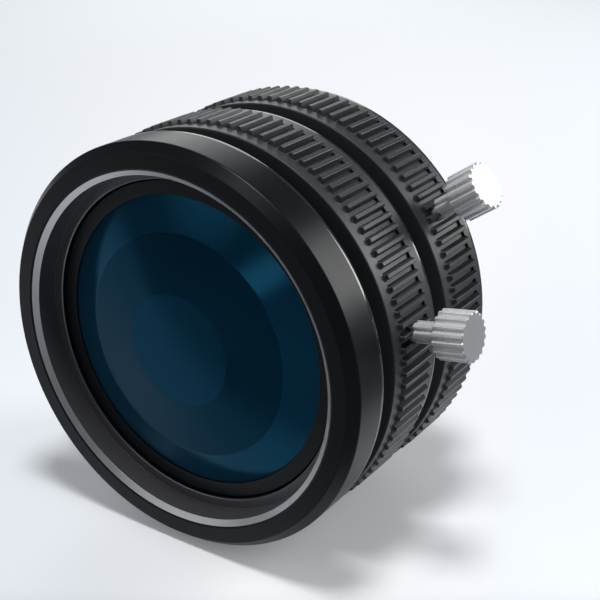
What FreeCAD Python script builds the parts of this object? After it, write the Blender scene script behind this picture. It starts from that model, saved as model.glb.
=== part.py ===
# Manual C-mount lens with two knurled rings and a thumbscrew on each ring.
#
# Millimetres, +Z up. The optical axis is Y: the front glass looks toward -Y, the camera is toward +Y.
# The origin is on the axis, in the plane of the mount's shoulder.
# Places along the axis are written as distances behind the front face, so a larger one is further back.
# Angles about the axis start at +X and grow toward +Z, counterclockwise as the front is seen.
import FreeCAD, Part
import math
import os
import re
import Sketcher

SIZES = [
    # Whole lens
    ("front_to_flange", 19.9),
    ("slide_clearance", 0.05),
    ("screw_clearance", 0.03),
    ("thread_gap", 0.02),
    # Nose of the front barrel
    ("nose_radius", 15.6),
    ("nose_length", 3.9),
    ("nose_chamfer_width", 0.63),
    ("nose_chamfer_length", 0.765),
    ("nose_rear_fillet", 0.3),
    ("nose_face_width", 1.17),
    ("lip_rim_width", 0.08),
    ("lip_rim_depth", 0.06),
    ("lip_depth", 0.4),
    ("lip_width", 0.555),
    ("filter_bore_depth", 2.15),
    # Sliding sleeve and its bore in the main barrel
    ("barrel_wall", 0.75),
    ("sleeve_wall", 0.7),
    ("joint_length", 1.9),
    ("front_barrel_end", 13.1),
    # Front retaining ring
    ("filter_bore_ledge", 0.785),
    ("front_ring_face", 2.45),
    ("front_ring_bevel", 0.12),
    ("front_ring_width", 1.17),
    ("front_ring_lip", 0.08),
    ("front_ring_end", 3.5),
    # Front glass
    ("front_ring_wall", 0.76),
    ("front_glass_apex", 0.75),
    ("front_glass_curve", 36.0),
    ("front_glass_thickness", 3.2),
    ("front_glass_rear_curve", 90.0),
    ("glass_clearance", 0.03),
    ("cement_gap", 0.01),
    # Second and third elements, and the spacer in front of them
    ("front_pocket_end", 5.9),
    ("doublet_radius", 9.6),
    ("doublet_ledge_thickness", 0.55),
    ("doublet_ledge", 1.9),
    ("second_apex", 4.35),
    ("second_curve", 15.0),
    ("second_thickness", 3.6),
    ("front_cement_curve", 60.0),
    ("third_thickness", 1.2),
    ("third_rear_curve", 9.8),
    ("third_rear_land", 2.2),
    ("spacer_wall", 0.35),
    ("spacer_lip", 1.1),
    # Diaphragm
    ("iris_opening_radius", 4.9),
    ("iris_plate_thickness", 0.55),
    ("iris_rib_height", 0.65),
    ("blade_gap", 0.06),
    ("blade_thickness", 0.1),
    ("blade_set_back", 0.1),
    ("blade_ear_height", 0.7),
    ("blade_span", 125.0),
    ("blade_lobe_gap", 0.65),
    ("blade_lobe_span", 25.0),
    ("blade_pin_radius", 0.3),
    ("blade_pin_angle", 20.0),
    ("blade_swing", 26.8),
    ("blade_count", 6),
    ("actuator_thickness", 0.6),
    ("actuator_band", 2.5),
    ("tongue_thickness", 0.6),
    ("tongue_width", 3.2),
    ("tongue_end", 18.0),
    # Rear cell and rear group
    ("housing_end", 18.9),
    ("cell_face_gap", 0.05),
    ("cell_tongue_gap", 0.25),
    ("cell_thread_start", 18.1),
    ("cell_mount_gap", 0.6),
    ("cell_end", 23.4),
    ("cell_opening_radius", 5.2),
    ("cell_lip", 0.4),
    ("rear_doublet_step", 0.4),
    ("rear_doublet_pocket_end", 19.6),
    ("fourth_front_rim", 16.0),
    ("fourth_front_curve", -12.0),
    ("fourth_front_opening", 5.3),
    ("fourth_thickness", 0.9),
    ("rear_cement_curve", 60.0),
    ("fifth_thickness", 2.54),
    ("fifth_rear_curve", -20.0),
    ("rear_ring_wall", 1.36),
    ("rear_glass_apex", 20.95),
    ("rear_glass_curve", 40.0),
    ("rear_glass_thickness", 2.15),
    ("rear_spacer_wall", 0.5),
    ("cell_wall", 1.24),
    ("rear_ring_start", 22.32),
    ("rear_ring_end", 23.15),
    ("rear_ring_lip", 0.6),
    # Main barrel and mount
    ("ring_depth", 2.5),
    ("barrel_start", 5.75),
    ("shoulder_height", 1.1),
    ("shoulder_thickness", 0.77),
    ("mount_thread_radius", 12.7),
    ("mount_thread_length", 3.8),
    ("mount_thread_chamfer", 0.4),
    ("mount_wall", 1.3),
    ("mount_bore_start", 19.2),
    # Turning rings
    ("ring_side_gap", 0.05),
    ("focus_ring_start", 5.55),
    ("focus_ring_length", 6.15),
    ("focus_ring_step", 0.19),
    ("iris_ring_start", 13.13),
    ("iris_ring_length", 5.95),
    ("iris_ring_step", 0.1),
    ("ring_rear_fillet", 0.25),
    ("knurl_margin", 1.08),
    ("knurl_length", 3.8),
    ("tooth_height", 0.33),
    ("gap_depth", 0.17),
    ("tooth_count", 108),
    ("tooth_tip_width", 0.3),
    ("gap_floor_width", 0.29),
    ("focus_knurl_angle", 1.92),
    ("iris_knurl_angle", 2.07),
    # Ring that keeps the focus ring on, and the collar between the rings
    ("keeper_height", 0.9),
    ("keeper_length", 0.7),
    ("collar_height", 0.8),
    ("collar_screw_radius", 0.5),
    ("collar_screw_depth", 0.25),
    ("collar_screw_angle", 75.0),
    ("collar_screw_slot", 0.2),
    ("collar_screw_count", 3),
    # Focus drive
    ("focus_throw", 90.0),
    ("focus_travel", 1.2),
    ("pin_place", 9.2),
    ("pin_angle", -5.25),
    ("pin_count", 3),
    ("pin_radius", 0.75),
    ("pin_shank_radius", 0.6),
    ("pin_depth", 1.1),
    ("pin_reach", 1.1),
    ("groove_overrun", 4.0),
    # Iris drive
    ("iris_throw", 50.0),
    ("drive_pin_place", 16.2),
    ("drive_pin_angle", 200.0),
    ("drive_pin_radius", 0.5),
    ("drive_pin_overlap", 0.07),
    ("drive_pin_reach", 1.5),
    ("drive_slot_gap", 0.06),
    # Thumbscrews and the pads under them
    ("focus_screw_angle", 9.75),
    ("iris_screw_angle", 34.86),
    ("neck_radius", 0.8),
    ("head_radius", 1.81),
    ("head_gap", 2.05),
    ("head_length", 2.4),
    ("head_bevel", 0.08),
    ("flute_count", 18),
    ("flute_radius", 0.2),
    ("pad_radius", 0.76),
    ("pad_thickness", 0.5),
]
ALIASES = {alias for alias, size in SIZES}

# Radii and places that follow from the sizes above, each from what it sits on, in or under.
DERIVED = {
    "lip_radius": "nose_radius - nose_chamfer_width - nose_face_width",
    "filter_bore_radius": "lip_radius - lip_width",
    "front_ring_radius": "filter_bore_radius - filter_bore_ledge",
    "front_ring_opening": "front_ring_radius - front_ring_width",
    "front_glass_radius": "front_ring_radius - front_ring_wall",
    "focus_ring_radius": "nose_radius - focus_ring_step",
    "iris_ring_radius": "nose_radius - iris_ring_step",
    "barrel_radius": "nose_radius - ring_depth",
    "shoulder_radius": "barrel_radius + shoulder_height",
    "keeper_radius": "barrel_radius + keeper_height",
    "collar_radius": "barrel_radius + collar_height",
    "collar_screw_inner": "barrel_radius - collar_screw_depth",
    "slide_bore_radius": "barrel_radius - barrel_wall",
    "sleeve_radius": "slide_bore_radius - slide_clearance",
    "joint_thread_radius": "sleeve_radius - sleeve_wall",
    "joint_start": "front_barrel_end - joint_length",
    "doublet_seat": "front_barrel_end - doublet_ledge_thickness",
    "doublet_opening": "doublet_radius - doublet_ledge",
    "third_rear_opening": "doublet_radius - third_rear_land",
    "iris_plate_radius": "joint_thread_radius - thread_gap",
    "iris_rib_radius": "joint_thread_radius - iris_rib_height",
    "blade_lobe_radius": "iris_rib_radius - blade_lobe_gap",
    "blade_pin_circle": "blade_lobe_radius - 2 * blade_pin_radius",
    "blade_outer_radius": "blade_pin_circle - blade_ear_height",
    "blade_inner_radius": "iris_opening_radius + blade_set_back",
    "actuator_radius": "iris_rib_radius - 2 * slide_clearance",
    "actuator_opening_radius": "blade_pin_circle - actuator_band",
    "cell_front_radius": "actuator_radius - cell_tongue_gap",
    "mount_bore_radius": "mount_thread_radius - mount_wall",
    "cell_rear_radius": "mount_bore_radius - cell_mount_gap",
    "rear_ring_radius": "cell_rear_radius - cell_wall",
    "rear_glass_radius": "rear_ring_radius - rear_ring_wall",
    "rear_doublet_radius": "rear_glass_radius - rear_doublet_step",
    "rear_spacer_bore": "rear_doublet_radius - rear_spacer_wall",
    "rear_ring_opening": "rear_glass_radius - rear_ring_lip",
    "pin_root": "sleeve_radius - pin_depth",
    "pin_tip": "barrel_radius + pin_reach",
    "groove_floor": "pin_tip + 2 * slide_clearance",
    "drive_pin_root": "actuator_radius - drive_pin_overlap",
    "drive_pin_tip": "barrel_radius + drive_pin_reach",
    "head_start": "nose_radius + head_gap",
}

doc = FreeCAD.newDocument("CMountLens")
dims = doc.addObject("Spreadsheet::Sheet", "Dims")
for row, (alias, size) in enumerate(SIZES, start=1):
    dims.set(f"A{row}", alias.replace("_", " "))
    dims.set(f"B{row}", str(size))
    dims.setAlias(f"B{row}", alias)
doc.recompute()


def spelled_out(text):
    """The expression text with each derived size written as the sizes it comes from."""
    def worked_out(word):
        """A derived size in brackets, and any other word as it is."""
        name = word.group()
        return f"({spelled_out(DERIVED[name])})" if name in DERIVED else name

    return re.sub(r"[a-z_]+", worked_out, text)


def linked(text):
    """The expression text with each alias of the sheet named in full."""
    def full_name(word):
        """An alias with the sheet's name before it, and any other word as it is."""
        name = word.group()
        return "Dims." + name if name in ALIASES else name

    return re.sub(r"[a-z_]+", full_name, spelled_out(text))


def size(text):
    """The number that an expression of aliases gives."""
    return float(dims.evalExpression(spelled_out(text)))


# Places that several pieces share, all worked out from the sheet.
RING_BORE = "(barrel_radius + slide_clearance)"
FOCUS_RING_END = "(focus_ring_start + focus_ring_length)"
IRIS_RING_END = "(iris_ring_start + iris_ring_length)"
COLLAR_START = f"({FOCUS_RING_END} + ring_side_gap)"
COLLAR_END = "(iris_ring_start - ring_side_gap)"
COLLAR_BORE = "(barrel_radius + thread_gap)"
IRIS_PLATE_START = "(front_barrel_end + ring_side_gap)"
IRIS_PLATE_END = f"({IRIS_PLATE_START} + iris_plate_thickness)"
BLADES_START = f"({IRIS_PLATE_END} + 2 * blade_gap)"
BLADE_PITCH = "(blade_thickness + blade_gap)"
ACTUATOR_START = f"({BLADES_START} + blade_count * {BLADE_PITCH} + blade_gap)"
ACTUATOR_END = f"({ACTUATOR_START} + actuator_thickness)"
HOUSING_BORE = "(joint_thread_radius + thread_gap)"
CELL_START = f"({ACTUATOR_END} + cell_face_gap)"
DRIVE_SLOT_HALF = "(drive_pin_radius + drive_slot_gap)"
PIN_SLOT_HALF = "(pin_radius + slide_clearance)"
SCREW_HOLE_RADIUS = "(neck_radius + screw_clearance)"
PAD_START = RING_BORE
PAD_END = f"({PAD_START} + pad_thickness)"


def plane_of(body, role):
    """One of the body's own origin planes or axes."""
    return next(item for item in body.Origin.OriginFeatures if item.Role == role)


def new_body(label):
    """A body whose local Y counts from the front face of the lens."""
    body = doc.addObject("PartDesign::Body", label)
    body.Label = label
    body.setExpression("Placement.Base.y", linked("-front_to_flange"))
    return body


def attach(sketch, body, role, turn="0", lift="0"):
    """Lays the sketch on an origin plane, turned about the optical axis and lifted off the plane."""
    sketch.AttachmentSupport = (plane_of(body, role), "")
    sketch.MapMode = "FlatFace"
    about = {"XY_Plane": FreeCAD.Vector(0, -1, 0), "YZ_Plane": FreeCAD.Vector(-1, 0, 0),
             "XZ_Plane": FreeCAD.Vector(0, 0, 1)}[role]
    rotation = FreeCAD.Rotation(about, size(turn))
    base = rotation.multVec(FreeCAD.Vector(0, 0, size(lift)))
    sketch.AttachmentOffset = FreeCAD.Placement(base, rotation)
    sketch.setExpression("AttachmentOffset.Rotation.Angle", linked(turn))
    if lift != "0" and role == "YZ_Plane":
        sketch.setExpression("AttachmentOffset.Base.y", linked(f"({lift}) * sin({turn})"))
        sketch.setExpression("AttachmentOffset.Base.z", linked(f"({lift}) * cos({turn})"))
    elif lift != "0":
        sketch.setExpression("AttachmentOffset.Base.z", linked(lift))


def pin_down(sketch, shape, end, across, along):
    """Fixes one end of a sketch line at a place given by two expressions."""
    for kind, text, axis in (("DistanceX", across, -2), ("DistanceY", along, -1)):
        if size(text) == 0:
            sketch.addConstraint(Sketcher.Constraint("PointOnObject", shape, end, axis))
            continue
        number = sketch.addConstraint(Sketcher.Constraint(kind, -1, 1, shape, end, size(text)))
        sketch.setExpression(f"Constraints[{number}]", linked(text))


def outline(body, name, points, role="XY_Plane", turn="0", lift="0"):
    """A closed outline of straight lines through points given as pairs of expressions."""
    sketch = body.newObject("Sketcher::SketchObject", name)
    attach(sketch, body, role, turn, lift)
    corners = [FreeCAD.Vector(size(across), size(along), 0) for across, along in points]
    for start, end in zip(corners, corners[1:] + corners[:1]):
        sketch.addGeometry(Part.LineSegment(start, end), False)
    for number in range(len(points)):
        following = (number + 1) % len(points)
        sketch.addConstraint(Sketcher.Constraint("Coincident", number, 2, following, 1))
    for number, (across, along) in enumerate(points):
        pin_down(sketch, number, 1, across, along)
    return sketch


def disc(body, name, across, along, radius, role, turn="0", lift="0"):
    """A circle whose centre and radius are expressions."""
    sketch = body.newObject("Sketcher::SketchObject", name)
    attach(sketch, body, role, turn, lift)
    centre = FreeCAD.Vector(size(across), size(along), 0)
    sketch.addGeometry(Part.Circle(centre, FreeCAD.Vector(0, 0, 1), size(radius)), False)
    pin_down(sketch, 0, 3, across, along)
    number = sketch.addConstraint(Sketcher.Constraint("Radius", 0, size(radius)))
    sketch.setExpression(f"Constraints[{number}]", linked(radius))
    return sketch


def turned(body, name, points):
    """A solid of revolution about the optical axis, from (radius, place) points."""
    sketch = outline(body, name + "Outline", points)
    feature = body.newObject("PartDesign::Revolution", name)
    feature.Profile = sketch
    feature.ReferenceAxis = (sketch, ["V_Axis"])
    feature.Angle = 360
    return feature


def ring_cut(body, name, points, middle, span):
    """A cut along part of a turn: the outline swept about the axis, half the span to each side."""
    sketch = outline(body, name + "Outline", points, turn=middle)
    feature = body.newObject("PartDesign::Groove", name)
    feature.Profile = sketch
    feature.ReferenceAxis = (sketch, ["V_Axis"])
    feature.Midplane = True
    feature.setExpression("Angle", linked(span))
    body.Tip = feature
    return feature


def radial_hole(body, name, place, radius, turn, depth, start="0"):
    """A round hole cut outward along a radius, from one distance off the axis to another."""
    sketch = disc(body, name + "Circle", place, "0", radius, "YZ_Plane", turn, start)
    feature = body.newObject("PartDesign::Pocket", name)
    feature.Profile = sketch
    feature.Reversed = True
    feature.setExpression("Length", linked(f"{depth} - ({start})"))
    body.Tip = feature
    return feature


def around(body, name, feature, count):
    """Copies of a cut, evenly spaced about the optical axis."""
    pattern = body.newObject("PartDesign::PolarPattern", name)
    pattern.Originals = [feature]
    pattern.Axis = (plane_of(body, "Y_Axis"), [""])
    pattern.Angle = 360
    pattern.setExpression("Occurrences", linked(count))
    body.Tip = pattern
    return pattern


def rounded_edge(body, name, feature, radius, place, fillet):
    """Rounds the circular edge at a given radius and place along the axis."""
    doc.recompute()
    wanted = size(radius)
    names = []
    for number, edge in enumerate(feature.Shape.Edges, start=1):
        curve = edge.Curve
        same_radius = isinstance(curve, Part.Circle) and abs(curve.Radius - wanted) < 1e-6
        if same_radius and abs(edge.Vertexes[0].Point.y - size(place)) < 1e-6:
            names.append(f"Edge{number}")
    rounding = body.newObject("PartDesign::Fillet", name)
    rounding.Base = (feature, names)
    rounding.setExpression("Radius", linked(fillet))
    body.Tip = rounding
    return rounding


def sag(curve, radius):
    """Depth of a spherical surface at a radius, as an expression: positive where it curves to the rear."""
    return f"({curve} - {curve} / abs({curve}) * sqrt({curve} * {curve} - {radius} * {radius}))"


def glass_arc(sketch, number, apex, curve, opening):
    """A spherical face from the axis to its opening. Gives the ends at the axis and at the rim."""
    bend = size(curve)
    reach = math.asin(size(opening) / abs(bend))
    centre = FreeCAD.Vector(0, size(apex) + bend, 0)
    circle = Part.Circle(centre, FreeCAD.Vector(0, 0, 1), abs(bend))
    if bend > 0:
        sketch.addGeometry(Part.ArcOfCircle(circle, -math.pi / 2, -math.pi / 2 + reach), False)
        axis_end, rim_end = 1, 2
    else:
        sketch.addGeometry(Part.ArcOfCircle(circle, math.pi / 2 - reach, math.pi / 2), False)
        axis_end, rim_end = 2, 1
    sketch.addConstraint(Sketcher.Constraint("PointOnObject", number, 3, -2))
    sketch.addConstraint(Sketcher.Constraint("PointOnObject", number, axis_end, -2))
    for kind, text, end in (("DistanceY", apex, axis_end), ("DistanceX", opening, rim_end)):
        place = sketch.addConstraint(Sketcher.Constraint(kind, -1, 1, number, end, size(text)))
        sketch.setExpression(f"Constraints[{place}]", linked(text))
    bound = sketch.addConstraint(Sketcher.Constraint("Radius", number, abs(bend)))
    sketch.setExpression(f"Constraints[{bound}]", linked(f"abs({curve})"))
    return axis_end, rim_end


def glass(label, rim, front, rear):
    """A lens element: two spherical faces, each (apex, curve, opening), and a flat rim outside each."""
    body = new_body(label)
    sketch = body.newObject("Sketcher::SketchObject", label + "_outline")
    attach(sketch, body, "XY_Plane")
    faces = []
    for number, (apex, curve, opening) in enumerate((front, rear)):
        axis_end, rim_end = glass_arc(sketch, number, apex, curve, opening)
        edge = FreeCAD.Vector(size(opening), size(f"{apex} + {sag(curve, opening)}"), 0)
        faces.append((number, axis_end, rim_end, edge, opening))
    count = 2
    corners = []
    for number, axis_end, rim_end, edge, opening in faces:
        corner = (number, rim_end)
        spot = edge
        if size(rim) - size(opening) > 1e-6:
            spot = FreeCAD.Vector(size(rim), edge.y, 0)
            sketch.addGeometry(Part.LineSegment(edge, spot), False)
            sketch.addConstraint(Sketcher.Constraint("Coincident", count, 1, number, rim_end))
            sketch.addConstraint(Sketcher.Constraint("Horizontal", count))
            reach = sketch.addConstraint(Sketcher.Constraint("DistanceX", -1, 1, count, 2, size(rim)))
            sketch.setExpression(f"Constraints[{reach}]", linked(rim))
            corner = (count, 2)
            count += 1
        corners.append((corner, spot))
    (front_corner, front_spot), (rear_corner, rear_spot) = corners
    sketch.addGeometry(Part.LineSegment(front_spot, rear_spot), False)
    sketch.addConstraint(Sketcher.Constraint("Coincident", count, 1, *front_corner))
    sketch.addConstraint(Sketcher.Constraint("Coincident", count, 2, *rear_corner))
    count += 1
    ends = [FreeCAD.Vector(0, size(face[0]), 0) for face in (rear, front)]
    sketch.addGeometry(Part.LineSegment(*ends), False)
    sketch.addConstraint(Sketcher.Constraint("Coincident", count, 1, 1, faces[1][1]))
    sketch.addConstraint(Sketcher.Constraint("Coincident", count, 2, 0, faces[0][1]))
    feature = body.newObject("PartDesign::Revolution", label + "_turned")
    feature.Profile = sketch
    feature.ReferenceAxis = (sketch, ["V_Axis"])
    feature.Angle = 360
    return body


# Front barrel: nose, lip, accessory bore, pockets for the front group and the sliding sleeve.
front_barrel = new_body("front_barrel")
nose = turned(front_barrel, "NoseAndSleeve", [
    ("lip_radius", "0"),
    ("nose_radius - nose_chamfer_width", "0"),
    ("nose_radius", "nose_chamfer_length"),
    ("nose_radius", "nose_length"),
    ("sleeve_radius", "nose_length"),
    ("sleeve_radius", "joint_start"),
    ("joint_thread_radius", "joint_start"),
    ("joint_thread_radius", "front_barrel_end"),
    ("doublet_opening", "front_barrel_end"),
    ("doublet_opening", "doublet_seat"),
    ("doublet_radius + glass_clearance", "doublet_seat"),
    ("doublet_radius + glass_clearance", "front_pocket_end"),
    ("front_glass_radius + glass_clearance", "front_pocket_end"),
    ("front_glass_radius + glass_clearance", "front_ring_end + ring_side_gap"),
    ("front_ring_radius + thread_gap", "front_ring_end + ring_side_gap"),
    ("front_ring_radius + thread_gap", "filter_bore_depth"),
    ("filter_bore_radius", "filter_bore_depth"),
    ("filter_bore_radius", "lip_depth"),
    ("lip_radius - lip_rim_width", "lip_rim_depth"),
])
rounded_edge(front_barrel, "NoseRearEdge", nose, "nose_radius", "nose_length", "nose_rear_fillet")
pin_hole = radial_hole(front_barrel, "PinHole", "pin_place", "pin_shank_radius + thread_gap", "pin_angle",
                       "barrel_radius", "pin_root")
around(front_barrel, "PinHoles", pin_hole, "pin_count")

# Ring that holds the front glass in: its thin lip follows the glass.
front_retaining_ring = new_body("front_retaining_ring")
turned(front_retaining_ring, "RingSection", [
    ("front_ring_opening", "front_ring_face"),
    ("front_ring_radius - front_ring_bevel", "front_ring_face"),
    ("front_ring_radius", "front_ring_face + front_ring_bevel"),
    ("front_ring_radius", "front_ring_end"),
    ("front_glass_radius + 2 * glass_clearance", "front_ring_end"),
    ("front_glass_radius + 2 * glass_clearance",
     f"front_glass_apex + {sag('front_glass_curve', 'front_glass_radius')} - glass_clearance"),
    ("front_ring_opening", "front_ring_face + front_ring_lip"),
])

# Front group: a convex front glass, then a cemented pair in front of the diaphragm.
FRONT_REAR_APEX = "(front_glass_apex + front_glass_thickness)"
glass("front_element", "front_glass_radius",
      ("front_glass_apex", "front_glass_curve", "front_glass_radius"),
      (FRONT_REAR_APEX, "front_glass_rear_curve", "front_glass_radius"))
FRONT_CEMENT_APEX = "(second_apex + second_thickness)"
glass("second_element", "doublet_radius",
      ("second_apex", "second_curve", "doublet_radius"),
      (FRONT_CEMENT_APEX, "front_cement_curve", "doublet_radius"))
glass("third_element", "doublet_radius",
      (f"({FRONT_CEMENT_APEX} + cement_gap)", "front_cement_curve", "doublet_radius"),
      (f"({FRONT_CEMENT_APEX} + third_thickness)", "third_rear_curve", "third_rear_opening"))

# Spacer between the front glass and the pair: a wide rim, then a thin tube down to the second element.
front_spacer = new_body("front_spacer")
SPACER_BORE = "(doublet_radius - spacer_wall)"
SPACER_FRONT = f"({FRONT_REAR_APEX} + {sag('front_glass_rear_curve', 'front_glass_radius')} + glass_clearance)"
turned(front_spacer, "SpacerSection", [
    ("front_glass_radius - spacer_lip", SPACER_FRONT),
    ("front_glass_radius", SPACER_FRONT),
    ("front_glass_radius", "front_pocket_end - ring_side_gap"),
    ("doublet_radius", "front_pocket_end - ring_side_gap"),
    ("doublet_radius", f"second_apex + {sag('second_curve', 'doublet_radius')} - 2 * glass_clearance"),
    (SPACER_BORE, f"second_apex + {sag('second_curve', SPACER_BORE)} - 2 * glass_clearance"),
    (SPACER_BORE, "front_pocket_end"),
])

# Iris housing: rear half of the sliding unit, with an inner rib and a window for the drive pin.
DRIVE_SLOT_MIDDLE = "(drive_pin_angle + iris_throw / 2)"
DRIVE_SLOT_SPAN = f"(iris_throw + 360 / pi * {DRIVE_SLOT_HALF} / slide_bore_radius)"
iris_housing = new_body("iris_housing")
turned(iris_housing, "HousingSection", [
    (HOUSING_BORE, "joint_start + ring_side_gap"),
    ("sleeve_radius", "joint_start + ring_side_gap"),
    ("sleeve_radius", "housing_end"),
    (HOUSING_BORE, "housing_end"),
    (HOUSING_BORE, f"{ACTUATOR_START} - screw_clearance"),
    ("iris_rib_radius", f"{ACTUATOR_START} - screw_clearance"),
    ("iris_rib_radius", f"{IRIS_PLATE_END} + ring_side_gap"),
    (HOUSING_BORE, f"{IRIS_PLATE_END} + ring_side_gap"),
])
ring_cut(iris_housing, "DriveWindow", [
    ("iris_rib_radius", f"drive_pin_place - {DRIVE_SLOT_HALF}"),
    ("barrel_radius", f"drive_pin_place - {DRIVE_SLOT_HALF}"),
    ("barrel_radius", f"drive_pin_place + focus_travel + {DRIVE_SLOT_HALF}"),
    ("iris_rib_radius", f"drive_pin_place + focus_travel + {DRIVE_SLOT_HALF}"),
], DRIVE_SLOT_MIDDLE, DRIVE_SLOT_SPAN)

# Base plate of the diaphragm, with a hole for each blade's pivot.
iris_base_plate = new_body("iris_base_plate")
turned(iris_base_plate, "PlateSection", [
    ("iris_opening_radius", IRIS_PLATE_START),
    ("iris_plate_radius", IRIS_PLATE_START),
    ("iris_plate_radius", IRIS_PLATE_END),
    ("iris_opening_radius", IRIS_PLATE_END),
])
pivot_circle = disc(iris_base_plate, "PivotCircle", "blade_pin_circle", "0",
                    "blade_pin_radius + screw_clearance", "XZ_Plane", "0", f"-{IRIS_PLATE_START}")
pivot_hole = iris_base_plate.newObject("PartDesign::Pocket", "PivotHole")
pivot_hole.Profile = pivot_circle
pivot_hole.setExpression("Length", linked("iris_plate_thickness"))
around(iris_base_plate, "PivotHoles", pivot_hole, "blade_count")

# Six blades, each on its own level: a crescent, a lobe, a pivot pin toward the front and
# a drive pin toward the rear. Local Z points to the front and local X through the pivot.
TO_FRONT = FreeCAD.Rotation(FreeCAD.Vector(1, 0, 0), 90)


def cylinder(name, radius, height, span="360", across="0", along="0", lift="0"):
    """An upright cylinder or sector whose sizes and place are expressions."""
    item = doc.addObject("Part::Cylinder", name)
    item.setExpression("Radius", linked(radius))
    item.setExpression("Height", linked(height))
    item.setExpression("Angle", linked(span))
    for axis, text in (("x", across), ("y", along), ("z", lift)):
        item.setExpression(f"Placement.Base.{axis}", linked(text))
    return item


def part_cut(name, base, tool):
    """One solid less another."""
    item = doc.addObject("Part::Cut", name)
    item.Base = base
    item.Tool = tool
    return item


def blade(number):
    """One diaphragm blade, turned to its pivot."""
    name = f"Blade{number}"
    rear_face = f"({BLADES_START} + {number - 1} * {BLADE_PITCH} + blade_thickness)"
    band = part_cut(name + "Crescent",
                    cylinder(name + "Outer", "blade_outer_radius", "blade_thickness", "blade_span"),
                    cylinder(name + "Inner", "blade_inner_radius", "blade_thickness"))
    lobe = part_cut(name + "Lobe",
                    cylinder(name + "LobeOuter", "blade_lobe_radius", "blade_thickness", "blade_lobe_span"),
                    cylinder(name + "LobeInner", "blade_outer_radius - blade_pin_radius", "blade_thickness"))
    boss = cylinder(name + "Boss", "blade_lobe_radius - blade_pin_circle", "blade_thickness",
                    across="blade_pin_circle")
    pivot = cylinder(name + "Pivot", "blade_pin_radius",
                     f"{rear_face} - {IRIS_PLATE_START} - screw_clearance", across="blade_pin_circle")
    drive = cylinder(name + "Drive", "blade_pin_radius",
                     f"blade_thickness + {ACTUATOR_END} - {rear_face} - screw_clearance",
                     across="blade_pin_circle * cos(blade_pin_angle)",
                     along="blade_pin_circle * sin(blade_pin_angle)",
                     lift=f"{rear_face} - {ACTUATOR_END} + screw_clearance")
    whole = doc.addObject("Part::MultiFuse", name)
    whole.Label = f"iris_blade_{number}"
    whole.Shapes = [band, lobe, boss, pivot, drive]
    whole.Refine = True
    turn = FreeCAD.Rotation(FreeCAD.Vector(0, -1, 0), 360 / BLADE_COUNT * (number - 1))
    whole.Placement = FreeCAD.Placement(FreeCAD.Vector(0, 0, 0), turn * TO_FRONT)
    whole.setExpression("Placement.Base.y", linked(f"{rear_face} - front_to_flange"))
    return whole


BLADE_COUNT = round(size("blade_count"))
blades = [blade(number) for number in range(1, BLADE_COUNT + 1)]


def drive_pin_path(swing, steps=24):
    """Centres of a blade's drive pin as the actuator ring sees them, from open to closed.

    At a blade angle b the pin lies at P + R(b)(D - P), for a pivot P and an open place D.
    The ring has turned b times throw / swing by then, so its own view is turned back by that.
    """
    circle = size("blade_pin_circle")
    angle = math.radians(size("blade_pin_angle"))
    gear = size("iris_throw / blade_swing")
    pivot = complex(circle, 0)
    start = circle * complex(math.cos(angle), math.sin(angle))
    centres = []
    for step in range(steps + 1):
        turn = math.radians(swing) * step / steps
        spot = pivot + (start - pivot) * complex(math.cos(turn), math.sin(turn))
        centres.append(spot * complex(math.cos(-gear * turn), math.sin(-gear * turn)))
    return centres


def slot_tool(centres, radius, height, lift):
    """A curved slot: the band between the path's two offset curves, with a round end at each end."""
    def offset(side):
        """Points beside the path, one radius off to the given side."""
        beside = []
        for number, spot in enumerate(centres):
            ahead = centres[min(number + 1, len(centres) - 1)] - centres[max(number - 1, 0)]
            beside.append(spot + side * radius * 1j * ahead / abs(ahead))
        return [FreeCAD.Vector(spot.real, spot.imag, lift) for spot in beside]

    left, right = offset(1), offset(-1)
    edges = []
    for points in (left, right[::-1]):
        curve = Part.BSplineCurve()
        curve.interpolate(points)
        edges.append(curve.toShape())
    edges.insert(1, Part.makeLine(left[-1], right[-1]))
    edges.append(Part.makeLine(right[0], left[0]))
    tool = Part.Face(Part.Wire(edges)).extrude(FreeCAD.Vector(0, 0, height))
    for spot in (centres[0], centres[-1]):
        tool = tool.fuse(Part.makeCylinder(radius, height, FreeCAD.Vector(spot.real, spot.imag, lift)))
    return tool


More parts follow.
